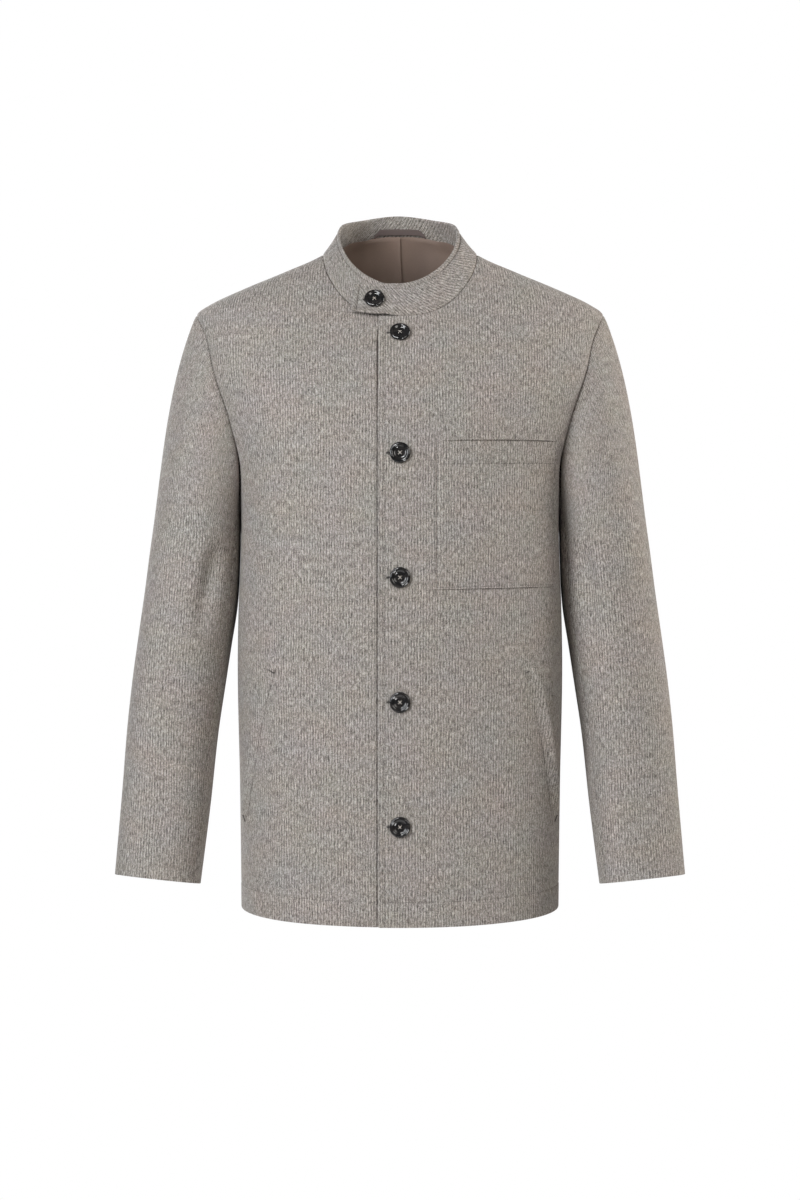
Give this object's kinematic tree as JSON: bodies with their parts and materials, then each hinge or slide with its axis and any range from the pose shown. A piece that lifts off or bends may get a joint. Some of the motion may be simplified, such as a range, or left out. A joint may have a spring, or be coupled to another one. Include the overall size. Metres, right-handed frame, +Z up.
{
  "type": "blazer",
  "caption": "Stand-collar blazer in grey-brown wool, hollow as if worn, with buttoned front, collar tab, patch chest pocket and slanting hand pockets.",
  "frame": {"origin": "middle of the neck, level with the points where the shoulder seams meet the collar", "axes": "+Z up along the standing wearer, -Y towards the front, +X towards the wearer's left"},
  "size_m": [0.6348, 0.2806, 0.8019],
  "materials": {
    "wool": "melange worsted, matt",
    "collar_wool": "melange worsted, fused, matt",
    "lining": "satin lining, slight sheen",
    "loop": "folded lining strip",
    "horn": "polished dark horn look"
  },
  "bodies": {
    "root": {"back_left": "wool", "back_right": "wool", "front_left": "wool", "front_right": "wool", "sleeve_top_left": "wool", "sleeve_top_right": "wool", "sleeve_under_left": "wool", "sleeve_under_right": "wool", "chest_pocket": "wool", "pocket_welt_left": "wool", "pocket_welt_right": "wool", "collar": "collar_wool", "lining_back_left": "lining", "lining_back_right": "lining", "hanging_loop": "loop", "collar_button": "horn", "front_button_1": "horn", "front_button_2": "horn", "front_button_3": "horn", "front_button_4": "horn", "front_button_5": "horn"}
  },
  "joints": []
}
